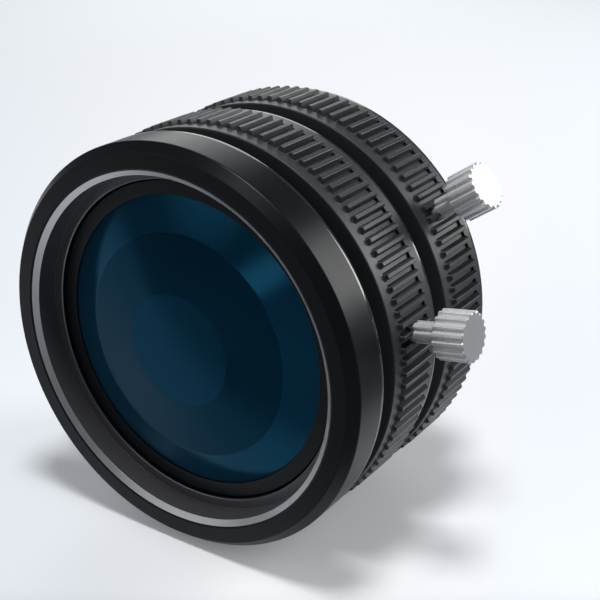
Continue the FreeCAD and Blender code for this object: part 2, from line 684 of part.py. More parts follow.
# Actuator ring: a disc with six curved slots, and a forked tongue that the drive pin turns.
def actuator_ring():
    """The ring in its own frame, local Z to the front, with its rear face at zero."""
    thickness = size("actuator_thickness")
    tongue_inner = size("actuator_radius")
    tongue_outer = size("actuator_radius + tongue_thickness")
    reach = size(f"tongue_end - {ACTUATOR_END}")
    ring = Part.makeCylinder(tongue_inner, thickness)
    ring = ring.cut(Part.makeCylinder(size("actuator_opening_radius"), thickness))
    path = drive_pin_path(size("blade_swing"))
    slot = slot_tool(path, size("blade_pin_radius + slide_clearance"), 3 * thickness, -thickness)
    for number in range(BLADE_COUNT):
        turned_slot = slot.copy()
        turned_slot.rotate(FreeCAD.Vector(), FreeCAD.Vector(0, 0, 1), 360 / BLADE_COUNT * number)
        ring = ring.cut(turned_slot)
    tube = Part.makeCylinder(tongue_outer, thickness + reach, FreeCAD.Vector(0, 0, -reach))
    tube = tube.cut(Part.makeCylinder(tongue_inner, thickness + reach, FreeCAD.Vector(0, 0, -reach)))
    width = size("tongue_width")
    root = tongue_inner - size("tongue_thickness")
    block = Part.makeBox(2 * tongue_outer, width, thickness + reach, FreeCAD.Vector(0, -width / 2, -reach))
    tongue = tube.common(block)
    fork_half = size(DRIVE_SLOT_HALF)
    fork_depth = size(f"{ACTUATOR_END} - drive_pin_place + {DRIVE_SLOT_HALF}")
    fork_corner = FreeCAD.Vector(root, -fork_half, -reach - 1)
    fork = Part.makeBox(2 * tongue_outer, 2 * fork_half, reach + 1 + fork_depth, fork_corner)
    tongue = tongue.cut(fork)
    tongue.rotate(FreeCAD.Vector(), FreeCAD.Vector(0, 0, 1), size("drive_pin_angle"))
    return ring.fuse(tongue).removeSplitter()


iris_actuator_ring = doc.addObject("Part::Feature", "iris_actuator_ring")
iris_actuator_ring.Shape = actuator_ring()
iris_actuator_ring.Placement = FreeCAD.Placement(FreeCAD.Vector(0, 0, 0), TO_FRONT)
iris_actuator_ring.setExpression("Placement.Base.y", linked(f"{ACTUATOR_END} - front_to_flange"))

# Rear cell: carries the rear group behind the diaphragm and reaches through the mount.
rear_cell = new_body("rear_cell")
turned(rear_cell, "CellSection", [
    ("cell_opening_radius", CELL_START),
    ("cell_front_radius", CELL_START),
    ("cell_front_radius", "cell_thread_start"),
    ("joint_thread_radius", "cell_thread_start"),
    ("joint_thread_radius", "housing_end - ring_side_gap"),
    ("cell_rear_radius", "housing_end - ring_side_gap"),
    ("cell_rear_radius", "cell_end"),
    ("rear_ring_radius + thread_gap", "cell_end"),
    ("rear_ring_radius + thread_gap", "rear_ring_start - ring_side_gap"),
    ("rear_glass_radius + glass_clearance", "rear_ring_start - ring_side_gap"),
    ("rear_glass_radius + glass_clearance", "rear_doublet_pocket_end"),
    ("rear_doublet_radius + glass_clearance", "rear_doublet_pocket_end"),
    ("rear_doublet_radius + glass_clearance", f"{CELL_START} + cell_lip"),
    ("cell_opening_radius", f"{CELL_START} + cell_lip"),
])

# Rear group: a cemented pair, a spacer and the rear glass.
FOURTH_APEX = f"(fourth_front_rim - {sag('fourth_front_curve', 'fourth_front_opening')})"
REAR_CEMENT_APEX = f"({FOURTH_APEX} + fourth_thickness)"
FIFTH_REAR_APEX = f"({REAR_CEMENT_APEX} + fifth_thickness)"
glass("fourth_element", "rear_doublet_radius",
      (FOURTH_APEX, "fourth_front_curve", "fourth_front_opening"),
      (REAR_CEMENT_APEX, "rear_cement_curve", "rear_doublet_radius"))
glass("fifth_element", "rear_doublet_radius",
      (f"({REAR_CEMENT_APEX} + cement_gap)", "rear_cement_curve", "rear_doublet_radius"),
      (FIFTH_REAR_APEX, "fifth_rear_curve", "rear_doublet_radius"))
REAR_GLASS_END = "(rear_glass_apex + rear_glass_thickness)"
glass("rear_element", "rear_glass_radius",
      ("rear_glass_apex", "rear_glass_curve", "rear_glass_radius"),
      (REAR_GLASS_END, "-rear_glass_curve", "rear_glass_radius"))

rear_spacer = new_body("rear_spacer")
turned(rear_spacer, "RearSpacerSection", [
    ("rear_spacer_bore",
     f"{FIFTH_REAR_APEX} + {sag('fifth_rear_curve', 'rear_spacer_bore')} + glass_clearance"),
    ("rear_doublet_radius",
     f"{FIFTH_REAR_APEX} + {sag('fifth_rear_curve', 'rear_doublet_radius')} + 2 * glass_clearance"),
    ("rear_doublet_radius", "rear_doublet_pocket_end + ring_side_gap"),
    ("rear_glass_radius", "rear_doublet_pocket_end + ring_side_gap"),
    ("rear_glass_radius",
     f"rear_glass_apex + {sag('rear_glass_curve', 'rear_glass_radius')} - 2 * glass_clearance"),
    ("rear_spacer_bore",
     f"rear_glass_apex + {sag('rear_glass_curve', 'rear_spacer_bore')} - 2 * glass_clearance"),
])

rear_retaining_ring = new_body("rear_retaining_ring")
turned(rear_retaining_ring, "RearRingSection", [
    ("rear_ring_opening",
     f"{REAR_GLASS_END} + {sag('-rear_glass_curve', 'rear_ring_opening')} + glass_clearance"),
    ("rear_glass_radius", "rear_ring_start"),
    ("rear_ring_radius", "rear_ring_start"),
    ("rear_ring_radius", "rear_ring_end"),
    ("rear_ring_opening + glass_clearance + cell_lip", "rear_ring_end"),
    ("rear_ring_opening", "rear_ring_end - cell_lip"),
])

# Main barrel: fixed tube with the shoulder and the mount thread, cut by the guide slots and the iris slot.
main_barrel = new_body("main_barrel")
turned(main_barrel, "BarrelSection", [
    ("slide_bore_radius", "barrel_start"),
    ("barrel_radius", "barrel_start"),
    ("barrel_radius", "front_to_flange - shoulder_thickness"),
    ("shoulder_radius", "front_to_flange - shoulder_thickness"),
    ("shoulder_radius", "front_to_flange"),
    ("mount_thread_radius", "front_to_flange"),
    ("mount_thread_radius", "front_to_flange + mount_thread_length - mount_thread_chamfer"),
    ("mount_thread_radius - mount_thread_chamfer", "front_to_flange + mount_thread_length"),
    ("mount_bore_radius", "front_to_flange + mount_thread_length"),
    ("mount_bore_radius", "mount_bore_start"),
    ("slide_bore_radius", "mount_bore_start"),
])
guide_sketch = outline(main_barrel, "GuideSlotOutline", [
    (f"pin_place - focus_travel - {PIN_SLOT_HALF}", f"-{PIN_SLOT_HALF}"),
    (f"pin_place + {PIN_SLOT_HALF}", f"-{PIN_SLOT_HALF}"),
    (f"pin_place + {PIN_SLOT_HALF}", PIN_SLOT_HALF),
    (f"pin_place - focus_travel - {PIN_SLOT_HALF}", PIN_SLOT_HALF),
], "YZ_Plane", "pin_angle")
guide_slot = main_barrel.newObject("PartDesign::Pocket", "GuideSlot")
guide_slot.Profile = guide_sketch
guide_slot.Reversed = True
guide_slot.setExpression("Length", linked("shoulder_radius"))
around(main_barrel, "GuideSlots", guide_slot, "pin_count")
ring_cut(main_barrel, "IrisSlot", [
    ("joint_thread_radius", f"drive_pin_place - {DRIVE_SLOT_HALF}"),
    ("shoulder_radius", f"drive_pin_place - {DRIVE_SLOT_HALF}"),
    ("shoulder_radius", f"drive_pin_place + {DRIVE_SLOT_HALF}"),
    ("joint_thread_radius", f"drive_pin_place + {DRIVE_SLOT_HALF}"),
], DRIVE_SLOT_MIDDLE, DRIVE_SLOT_SPAN)
dimple = radial_hole(main_barrel, "ScrewDimple", f"({COLLAR_START} + {COLLAR_END}) / 2",
                     "collar_screw_radius + thread_gap", "collar_screw_angle",
                     "shoulder_radius", "collar_screw_inner - thread_gap")
around(main_barrel, "ScrewDimples", dimple, "collar_screw_count")

# Collar between the two turning rings, and the ring in front of the focus ring.
barrel_collar = new_body("barrel_collar")
turned(barrel_collar, "CollarSection", [
    (COLLAR_BORE, COLLAR_START),
    ("collar_radius", COLLAR_START),
    ("collar_radius", COLLAR_END),
    (COLLAR_BORE, COLLAR_END),
])
collar_hole = radial_hole(barrel_collar, "CollarHole", f"({COLLAR_START} + {COLLAR_END}) / 2",
                          "collar_screw_radius + thread_gap", "collar_screw_angle", "shoulder_radius")
around(barrel_collar, "CollarHoles", collar_hole, "collar_screw_count")
focus_retaining_ring = new_body("focus_retaining_ring")
turned(focus_retaining_ring, "KeeperSection", [
    (COLLAR_BORE, "barrel_start"),
    ("keeper_radius", "barrel_start"),
    ("keeper_radius", "barrel_start + keeper_length"),
    (COLLAR_BORE, "barrel_start + keeper_length"),
])


def radial(angle):
    """Turns local Z to the radius at an angle about the optical axis."""
    return FreeCAD.Rotation(FreeCAD.Vector(0, 1, 0), 90 - angle)


def group(name, label, count, angle, place, make):
    """Identical small pieces about the axis, kept as one group of separate solids."""
    items = []
    for number in range(round(size(count))):
        item = make(f"{name}{number + 1}")
        turn = radial(size(f"{angle} + 360 / {count} * {number}"))
        item.Placement = FreeCAD.Placement(FreeCAD.Vector(0, 0, 0), turn)
        item.setExpression("Placement.Base.y", linked(f"{place} - front_to_flange"))
        items.append(item)
    whole = doc.addObject("Part::Compound", name)
    whole.Label = label
    whole.Links = items
    return whole


def slotted_screw(name):
    """A grub screw with a driver slot across its outer end, lying along local Z."""
    shank = cylinder(name + "Shank", "collar_screw_radius", "collar_radius - collar_screw_inner",
                     lift="collar_screw_inner")
    slot = doc.addObject("Part::Box", name + "Slot")
    slot.setExpression("Length", linked("3 * collar_screw_radius"))
    slot.setExpression("Width", linked("collar_screw_slot"))
    slot.setExpression("Height", linked("2 * collar_screw_slot"))
    slot.setExpression("Placement.Base.x", linked("-1.5 * collar_screw_radius"))
    slot.setExpression("Placement.Base.y", linked("-collar_screw_slot / 2"))
    slot.setExpression("Placement.Base.z", linked("collar_radius - collar_screw_slot"))
    return part_cut(name, shank, slot)


def follower_pin(name):
    """A stepped pin: its shank is held in the sleeve and its roller runs in slot and groove."""
    shank = cylinder(name + "Shank", "pin_shank_radius", "sleeve_radius - pin_root + screw_clearance",
                     lift="pin_root")
    roller = cylinder(name + "Roller", "pin_radius", "pin_tip - sleeve_radius - screw_clearance",
                      lift="sleeve_radius + screw_clearance")
    whole = doc.addObject("Part::Fuse", name)
    whole.Base = shank
    whole.Tool = roller
    return whole


collar_set_screws = group("CollarSetScrews", "collar_set_screws", "collar_screw_count", "collar_screw_angle",
                          f"({COLLAR_START} + {COLLAR_END}) / 2", slotted_screw)
follower_pins = group("FollowerPins", "follower_pins", "pin_count", "pin_angle", "pin_place", follower_pin)


def knurl(body, radius, start, phase):
    """Cuts the gaps between the raised teeth, deeper than the plain margins beside them."""
    tip = f"({radius} + tooth_height)"
    floor = f"({radius} - gap_depth)"
    gap_at_tip = f"(2 * pi * {tip} / tooth_count - tooth_tip_width)"
    slope = f"(({gap_at_tip} - gap_floor_width) / 2 / ({tip} - {floor}))"
    reach = f"({tip} + tooth_height)"
    gap_at_reach = f"({gap_at_tip} / 2 + {slope} * tooth_height)"
    sketch = outline(body, body.Label + "_gap", [
        (floor, "-gap_floor_width / 2"),
        (reach, f"-{gap_at_reach}"),
        (reach, gap_at_reach),
        (floor, "gap_floor_width / 2"),
    ], "XZ_Plane", phase, f"-({start} + knurl_margin)")
    gap = body.newObject("PartDesign::Pocket", body.Label + "_gap_cut")
    gap.Profile = sketch
    gap.setExpression("Length", linked("knurl_length"))
    return around(body, body.Label + "_teeth", gap, "tooth_count")


def ring_section(radius, start, length):
    """Outer points of a turning ring, front to rear: margin, raised band and margin."""
    return [
        (radius, start),
        (radius, f"{start} + knurl_margin"),
        (f"{radius} + tooth_height", f"{start} + knurl_margin"),
        (f"{radius} + tooth_height", f"{start} + knurl_margin + knurl_length"),
        (radius, f"{start} + knurl_margin + knurl_length"),
        (radius, f"{start} + {length}"),
    ]


# Focus ring: counterbored for its keeper, with three helical grooves and the thumbscrew's hole.
focus_ring = new_body("focus_ring")
focus_blank = turned(focus_ring, "FocusBlank", [
    ("keeper_radius + slide_clearance", "focus_ring_start"),
    *ring_section("focus_ring_radius", "focus_ring_start", "focus_ring_length"),
    (RING_BORE, FOCUS_RING_END),
    (RING_BORE, "barrel_start + keeper_length + ring_side_gap"),
    ("keeper_radius + slide_clearance", "barrel_start + keeper_length + ring_side_gap"),
])
rounded_edge(focus_ring, "FocusRearEdge", focus_blank, "focus_ring_radius", FOCUS_RING_END, "ring_rear_fillet")
GROOVE_HALF = PIN_SLOT_HALF
GROOVE_LEAD = "(focus_travel / focus_throw)"
GROOVE_START = f"(pin_place + {GROOVE_LEAD} * groove_overrun)"
groove_shape = outline(focus_ring, "GrooveShape", [
    ("slide_bore_radius", f"{GROOVE_START} - {GROOVE_HALF}"),
    ("groove_floor", f"{GROOVE_START} - {GROOVE_HALF}"),
    ("groove_floor", f"{GROOVE_START} + {GROOVE_HALF}"),
    ("slide_bore_radius", f"{GROOVE_START} + {GROOVE_HALF}"),
], turn="pin_angle + groove_overrun")
helical_groove = focus_ring.newObject("PartDesign::SubtractiveHelix", "HelicalGroove")
helical_groove.Profile = groove_shape
helical_groove.ReferenceAxis = (groove_shape, ["V_Axis"])
helical_groove.Mode = "pitch-height-angle"
helical_groove.setExpression("Pitch", linked(f"360 * {GROOVE_LEAD}"))
helical_groove.setExpression("Height", linked(f"{GROOVE_LEAD} * (focus_throw + 2 * groove_overrun)"))
helical_groove.Reversed = True
helical_groove.LeftHanded = True
focus_ring.Tip = helical_groove
around(focus_ring, "HelicalGrooves", helical_groove, "pin_count")
FOCUS_SCREW_PLACE = "(focus_ring_start + knurl_margin + knurl_length / 2)"
radial_hole(focus_ring, "FocusScrewHole", FOCUS_SCREW_PLACE, SCREW_HOLE_RADIUS, "focus_screw_angle",
            "focus_ring_radius + 2 * tooth_height")
knurl(focus_ring, "focus_ring_radius", "focus_ring_start", "focus_knurl_angle")

# Iris ring, with a blind hole for the drive pin and the thumbscrew's hole.
iris_ring = new_body("iris_ring")
iris_blank = turned(iris_ring, "IrisBlank", [
    *ring_section("iris_ring_radius", "iris_ring_start", "iris_ring_length"),
    (RING_BORE, IRIS_RING_END),
    (RING_BORE, "iris_ring_start"),
])
rounded_edge(iris_ring, "IrisRearEdge", iris_blank, "iris_ring_radius", IRIS_RING_END, "ring_rear_fillet")
radial_hole(iris_ring, "DrivePinHole", "drive_pin_place", "drive_pin_radius + thread_gap", "drive_pin_angle",
            "drive_pin_tip + thread_gap")
IRIS_SCREW_PLACE = "(iris_ring_start + knurl_margin + knurl_length / 2)"
radial_hole(iris_ring, "IrisScrewHole", IRIS_SCREW_PLACE, SCREW_HOLE_RADIUS, "iris_screw_angle",
            "iris_ring_radius + 2 * tooth_height")
knurl(iris_ring, "iris_ring_radius", "iris_ring_start", "iris_knurl_angle")

iris_drive_pin = cylinder("iris_drive_pin", "drive_pin_radius", "drive_pin_tip - drive_pin_root")
iris_drive_pin.Label = "iris_drive_pin"


def along_radius(item, angle, place, distance):
    """Puts a piece that lies along local Z on the radius at an angle, at a distance off the axis."""
    item.Placement = FreeCAD.Placement(FreeCAD.Vector(0, 0, 0), radial(size(angle)))
    item.setExpression("Placement.Rotation.Angle", linked(f"90 - {angle}"))
    item.setExpression("Placement.Base.x", linked(f"{distance} * cos({angle})"))
    item.setExpression("Placement.Base.y", linked(f"{place} - front_to_flange"))
    item.setExpression("Placement.Base.z", linked(f"{distance} * sin({angle})"))


along_radius(iris_drive_pin, "drive_pin_angle", "drive_pin_place", "drive_pin_root")


# Thumbscrews: a threaded neck and a fluted head. The brass pad under each one bears on the barrel.
def thumbscrew(label, angle, place):
    """A screw along local Z, which counts from the optical axis."""
    body = doc.addObject("PartDesign::Body", label)
    body.Label = label
    for stem, radius, start, end in (("Neck", "neck_radius", f"{PAD_END} + thread_gap", "head_start"),
                                     ("Head", "head_radius", "head_start", "head_start + head_length")):
        circle = body.newObject("Sketcher::SketchObject", f"{label}{stem}Circle")
        circle.AttachmentSupport = (plane_of(body, "XY_Plane"), "")
        circle.MapMode = "FlatFace"
        circle.setExpression("AttachmentOffset.Base.z", linked(start))
        circle.addGeometry(Part.Circle(FreeCAD.Vector(), FreeCAD.Vector(0, 0, 1), size(radius)), False)
        circle.addConstraint(Sketcher.Constraint("Coincident", 0, 3, -1, 1))
        number = circle.addConstraint(Sketcher.Constraint("Radius", 0, size(radius)))
        circle.setExpression(f"Constraints[{number}]", linked(radius))
        pad = body.newObject("PartDesign::Pad", label + stem)
        pad.Profile = circle
        pad.setExpression("Length", linked(f"{end} - ({start})"))
    flute = body.newObject("Sketcher::SketchObject", label + "FluteCircle")
    flute.AttachmentSupport = (plane_of(body, "XY_Plane"), "")
    flute.MapMode = "FlatFace"
    flute.setExpression("AttachmentOffset.Base.z", linked("head_start + head_length"))
    centre = FreeCAD.Vector(size("head_radius"), 0, 0)
    flute.addGeometry(Part.Circle(centre, FreeCAD.Vector(0, 0, 1), size("flute_radius")), False)
    pin_down(flute, 0, 3, "head_radius", "0")
    number = flute.addConstraint(Sketcher.Constraint("Radius", 0, size("flute_radius")))
    flute.setExpression(f"Constraints[{number}]", linked("flute_radius"))
    cut = body.newObject("PartDesign::Pocket", label + "Flute")
    cut.Profile = flute
    cut.setExpression("Length", linked("head_length"))
    pattern = body.newObject("PartDesign::PolarPattern", label + "Flutes")
    pattern.Originals = [cut]
    pattern.Axis = (plane_of(body, "Z_Axis"), [""])
    pattern.Angle = 360
    pattern.setExpression("Occurrences", linked("flute_count"))
    body.Tip = pattern
    along_radius(body, angle, place, "0")
    return body


def pad(label, angle, place):
    """A short brass plug between the screw's tip and the barrel."""
    item = cylinder(label, "pad_radius", "pad_thickness")
    item.Label = label
    along_radius(item, angle, place, PAD_START)
    return item


thumbscrew("focus_lock_screw", "focus_screw_angle", FOCUS_SCREW_PLACE)
thumbscrew("iris_lock_screw", "iris_screw_angle", IRIS_SCREW_PLACE)
pad("focus_lock_pad", "focus_screw_angle", FOCUS_SCREW_PLACE)
pad("iris_lock_pad", "iris_screw_angle", IRIS_SCREW_PLACE)

NODES = """
main_barrel barrel_collar collar_set_screws focus_retaining_ring focus_ring front_barrel
front_retaining_ring front_element front_spacer second_element third_element iris_housing
iris_base_plate iris_blade_1 iris_blade_2 iris_blade_3 iris_blade_4 iris_blade_5 iris_blade_6
iris_actuator_ring rear_cell fourth_element fifth_element rear_spacer rear_element
rear_retaining_ring follower_pins iris_ring iris_drive_pin focus_lock_screw focus_lock_pad
iris_lock_screw iris_lock_pad
""".split()

doc.recompute()
broken = [item.Label for item in doc.Objects if {"Invalid", "Error"} & set(item.State)]
if broken:
    raise RuntimeError("features that failed: " + ", ".join(broken))
for node in NODES:
    shape = doc.getObjectsByLabel(node)[0].Shape
    if shape.isNull() or not shape.isValid() or not shape.Solids:
        raise RuntimeError("no valid solid in " + node)
os.makedirs("parts", exist_ok=True)
for node in NODES:
    shape = doc.getObjectsByLabel(node)[0].Shape
    shape.exportStep(f"parts/{node}.step")
    print(f"{node:22s} {len(shape.Solids)} solids, {shape.Volume:9.3f} mm3")
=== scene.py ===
import math
import bpy
import numpy as np
from mathutils import Matrix


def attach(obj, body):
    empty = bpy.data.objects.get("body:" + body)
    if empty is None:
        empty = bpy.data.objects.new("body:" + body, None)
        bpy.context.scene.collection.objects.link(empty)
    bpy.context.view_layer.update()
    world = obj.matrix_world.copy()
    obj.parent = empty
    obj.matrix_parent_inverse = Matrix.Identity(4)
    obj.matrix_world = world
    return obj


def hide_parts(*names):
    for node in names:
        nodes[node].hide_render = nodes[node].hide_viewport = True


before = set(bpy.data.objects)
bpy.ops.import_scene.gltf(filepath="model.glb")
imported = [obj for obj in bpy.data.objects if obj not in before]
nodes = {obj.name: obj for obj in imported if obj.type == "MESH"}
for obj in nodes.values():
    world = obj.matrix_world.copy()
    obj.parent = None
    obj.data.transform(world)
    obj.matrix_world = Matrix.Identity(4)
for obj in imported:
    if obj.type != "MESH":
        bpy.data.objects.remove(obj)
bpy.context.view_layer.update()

# Main barrel
# The fixed tube that everything is carried by: black anodised aluminium, turned in one piece
# with the shoulder that seats on the camera and the fine thread behind it.
MM = 0.001
FLANGE = 19.9  # front face to the shoulder: sizes are in mm, and places count from the front face
TURN_STEPS = 240
EASED = 0.05  # how far a plain turned corner is broken
CURVE_POINTS = 5
PER_CORNER = CURVE_POINTS + 2
LONGEST_CUT = 0.3  # the share of its shorter side that a corner's curve may take
SUPPORT = 1.5  # how many cuts a support point lies from its corner


def softened(corners, rounding):
    """A closed outline whose corners become short curves with a support point at each side.

    Each curve is the quadratic Bezier from one cut point to the other with the corner as control:
    (1-t)^2 A + 2t(1-t) P + t^2 B. With its two support points a corner gives PER_CORNER points.
    """
    corners = np.asarray(corners, float)
    before = np.roll(corners, 1, axis=0) - corners
    after = np.roll(corners, -1, axis=0) - corners
    length_before = np.linalg.norm(before, axis=1, keepdims=True)
    length_after = np.linalg.norm(after, axis=1, keepdims=True)
    before /= length_before
    after /= length_after
    rounding = np.broadcast_to(np.asarray(rounding, float), len(corners))[:, None]
    cut = np.minimum(rounding, LONGEST_CUT * np.minimum(length_before, length_after))
    t = np.linspace(0, 1, CURVE_POINTS)[None, :, None]
    start = (corners + cut * before)[:, None]
    end = (corners + cut * after)[:, None]
    curve = (1 - t) ** 2 * start + 2 * t * (1 - t) * corners[:, None] + t ** 2 * end
    first = (corners + SUPPORT * cut * before)[:, None]
    last = (corners + SUPPORT * cut * after)[:, None]
    return np.concatenate([first, curve, last], axis=1).reshape(-1, 2)


def skin(name, points, cells, fans, sharp):
    """A closed, smoothly shaded piece from points in mm, four-cornered cells and three-cornered fans.

    The signed volume, the sum of a . (b x c) / 6 over triangles with corners a, b and c, says
    whether the faces have to be turned round to look outward.
    """
    points = points.reshape(-1, 3) * MM
    a, b, c = points[np.concatenate([cells[:, :3], cells[:, [0, 2, 3]], fans])].transpose(1, 0, 2)
    if (a * np.cross(b, c)).sum() < 0:
        cells, fans = cells[:, ::-1], fans[:, ::-1]
    mesh = bpy.data.meshes.new(name)
    mesh.from_pydata(points, [], cells.tolist() + fans.tolist())
    mesh.polygons.foreach_set("use_smooth", np.ones(len(mesh.polygons), bool))
    mesh.set_sharp_from_angle(angle=math.radians(sharp))
    mesh.update()
    piece = bpy.data.objects.new(name, mesh)
    bpy.context.scene.collection.objects.link(piece)
    return piece


def grid_piece(name, points, sharp=35):
    """A piece over a grid of points that joins up in both directions, like a tyre."""
    index = np.arange(points[..., 0].size).reshape(points.shape[:2])
    ahead = np.roll(index, -1, axis=0)
    cells = np.stack([index, ahead, np.roll(ahead, -1, axis=1), np.roll(index, -1, axis=1)], axis=-1)
    return skin(name, points, cells.reshape(-1, 4), np.empty((0, 3), int), sharp)


def turned_grid(outline, steps):
    """Points of an outline of (radius, place) carried round the axis: (r cos a, place, r sin a)."""
    angle = np.linspace(0, 2 * math.pi, steps, endpoint=False)[:, None]
    radius, place = np.asarray(outline).T
    along = np.broadcast_to(place - FLANGE, (steps, len(place)))
    return np.stack([radius * np.cos(angle), along, radius * np.sin(angle)], axis=-1)


def turned(name, corners, rounding=EASED, steps=TURN_STEPS):
    """A ring-shaped piece turned about the optical axis, with its corners eased."""
    return grid_piece(name, turned_grid(softened(corners, rounding), steps))


def finish(piece, material):
    """Gives a piece, or a CAD node by name, one material."""
    if isinstance(piece, str):
        piece = nodes[piece]
    piece.data.materials.clear()
    piece.data.materials.append(material)


def turning_marks():
    """Node group: tool marks left by turning, as noise read at (distance from the axis, place along it).

    The noise doesn't change round the axis, so it makes rings. A second, even noise gives a mottle.
    """
    group = bpy.data.node_groups.new("turning marks", "ShaderNodeTree")
    for direction, names in (("INPUT", ("Marks per metre", "Mottle per metre")),
                             ("OUTPUT", ("Marks", "Mottle"))):
        for name in names:
            group.interface.new_socket(name=name, in_out=direction, socket_type="NodeSocketFloat")
    new, link = group.nodes.new, group.links.new
    given = new("NodeGroupInput")
    result = new("NodeGroupOutput")
    place = new("ShaderNodeTexCoord")
    split = new("ShaderNodeSeparateXYZ")
    link(place.outputs["Object"], split.inputs[0])
    across = new("ShaderNodeCombineXYZ")
    link(split.outputs["X"], across.inputs["X"])
    link(split.outputs["Z"], across.inputs["Z"])
    distance = new("ShaderNodeVectorMath")
    distance.operation = "LENGTH"
    link(across.outputs[0], distance.inputs[0])
    section = new("ShaderNodeCombineXYZ")
    link(distance.outputs["Value"], section.inputs["X"])
    link(split.outputs["Y"], section.inputs["Y"])
    for source, name, detail in ((section.outputs[0], "Marks", 2), (place.outputs["Object"], "Mottle", 3)):
        noise = new("ShaderNodeTexNoise")
        noise.inputs["Detail"].default_value = detail
        link(source, noise.inputs["Vector"])
        link(given.outputs[name + " per metre"], noise.inputs["Scale"])
        link(noise.outputs["Fac"], result.inputs[name])
    return group


MARKS = turning_marks()
MARK_COUNT = 9000  # tool marks in a metre
METAL_MOTTLE = 700
MOTTLE_LOW, MOTTLE_HIGH = 0.3, 0.7  # where nearly all of the noise lies
MARK_SHADE = 0.8  # how dark the deepest mark is beside the highest
MARK_HEIGHT = 0.01 * MM


def marks_in(tree, mottle):
    """The turning marks placed in a material, with a mottle of so many spots to the metre."""
    pattern = tree.nodes.new("ShaderNodeGroup")
    pattern.node_tree = MARKS
    pattern.inputs["Marks per metre"].default_value = MARK_COUNT
    pattern.inputs["Mottle per metre"].default_value = mottle
    return pattern


def shaded(tree, mask, colour, share):
    """Base colour that a mask carries from a share of the colour to the colour itself."""
    shade = tree.nodes.new("ShaderNodeMix")
    shade.data_type = "RGBA"
    shade.inputs["A"].default_value = (*[share * part for part in colour], 1)
    shade.inputs["B"].default_value = (*colour, 1)
    tree.links.new(mask, shade.inputs["Factor"])
    tree.links.new(shade.outputs["Result"], tree.nodes["Principled BSDF"].inputs["Base Color"])


def marked_metal(name, colour, roughness, spread=0.08, metallic=0.0, specular=0.5, depth=0.2):
    """A turned finish: the marks feed a fine bump and the colour, and the mottle the roughness.

    Roughness runs from roughness - spread to roughness + spread, and the colour darkens by a fifth.
    """
    material = bpy.data.materials.new(name)
    material.use_nodes = True
    tree = material.node_tree
    shader = tree.nodes["Principled BSDF"]
    shader.inputs["Metallic"].default_value = metallic
    shader.inputs["Specular IOR Level"].default_value = specular
    pattern = marks_in(tree, METAL_MOTTLE)
    tone = tree.nodes.new("ShaderNodeMapRange")
    tone.inputs["From Min"].default_value = MOTTLE_LOW
    tone.inputs["From Max"].default_value = MOTTLE_HIGH
    tone.inputs["To Min"].default_value = roughness - spread
    tone.inputs["To Max"].default_value = roughness + spread
    tree.links.new(pattern.outputs["Mottle"], tone.inputs["Value"])
    tree.links.new(tone.outputs["Result"], shader.inputs["Roughness"])
    shaded(tree, pattern.outputs["Marks"], colour, MARK_SHADE)
    bump = tree.nodes.new("ShaderNodeBump")
    bump.inputs["Strength"].default_value = depth
    bump.inputs["Distance"].default_value = MARK_HEIGHT
    tree.links.new(pattern.outputs["Marks"], bump.inputs["Height"])
    tree.links.new(bump.outputs["Normal"], shader.inputs["Normal"])
    return material


ANODISED = marked_metal("black_anodised", (0.0065, 0.0088, 0.0110), 0.32, 0.01, specular=0.15, depth=0.05)
THREAD_PITCH = 25.4 / 32
THREAD_DEPTH = 0.42
THREAD_CREST = 12.69
THREAD_START, THREAD_END = 20.0, 23.45
THREAD_FADE = 0.35
THREAD_ROWS = 78
LAST_ROW = 23.3
BARREL_FRONT = [(12.35, 5.75), (13.1, 5.75), (13.1, 19.13), (14.2, 19.13), (14.2, FLANGE), (12.66, FLANGE)]
BARREL_REAR = [(12.3, 23.7), (11.4, 23.7), (11.4, 19.2), (12.35, 19.2)]


def threaded_barrel():
    """The barrel with its thread: the radius falls from the crest by the depth times a clipped wave.

    The wave is 0.5 - 0.9 cos(2 pi (place / pitch - turns)) held between 0 and 1, where turns is the
    angle in whole turns. It grows over THREAD_FADE from the thread's start, and fades before its end.
    """
    front = softened(BARREL_FRONT, EASED)
    rear = softened(BARREL_REAR, EASED)
    place = np.linspace(THREAD_START, LAST_ROW, THREAD_ROWS)
    wall = np.stack([np.full_like(place, THREAD_CREST), place], axis=1)
    first, last = len(front), len(front) + len(wall)
    points = turned_grid(np.concatenate([front, wall, rear]), TURN_STEPS)
    turns = np.linspace(0, 1, TURN_STEPS, endpoint=False)[:, None]
    wave = np.clip(0.5 - 0.9 * np.cos(2 * math.pi * (place[None] / THREAD_PITCH - turns)), 0, 1)
    fade = np.clip(np.minimum(place - THREAD_START, THREAD_END - place) / THREAD_FADE, 0, 1)
    radius = THREAD_CREST - THREAD_DEPTH * wave * fade
    angle = 2 * math.pi * turns
    points[:, first:last, 0] = radius * np.cos(angle)
    points[:, first:last, 2] = radius * np.sin(angle)
    return grid_piece("barrel_with_thread", points, sharp=50)


barrel = threaded_barrel()
finish(barrel, ANODISED)
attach(barrel, "mount_body")
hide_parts("main_barrel")

# Collar and keeper ring
# Two plain black rings on the barrel. The collar parts the turning rings and is held by three
# set screws, and the keeper screws on inside the recess at the focus ring's front.
COLLAR = [(13.12, 11.75), (13.9, 11.75), (13.9, 13.08), (13.12, 13.08)]
KEEPER = [(13.12, 5.75), (14.0, 5.75), (14.0, 6.45), (13.12, 6.45)]
collar = turned("collar_ring", COLLAR)
keeper = turned("keeper_ring", KEEPER)
for piece, node in ((collar, "barrel_collar"), (keeper, "focus_retaining_ring")):
    finish(piece, ANODISED)
    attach(piece, "mount_body")
    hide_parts(node)
BLACK_STEEL = marked_metal("blackened_steel", (0.02, 0.02, 0.022), 0.4, metallic=0.6, specular=0.3)
finish("collar_set_screws", BLACK_STEEL)

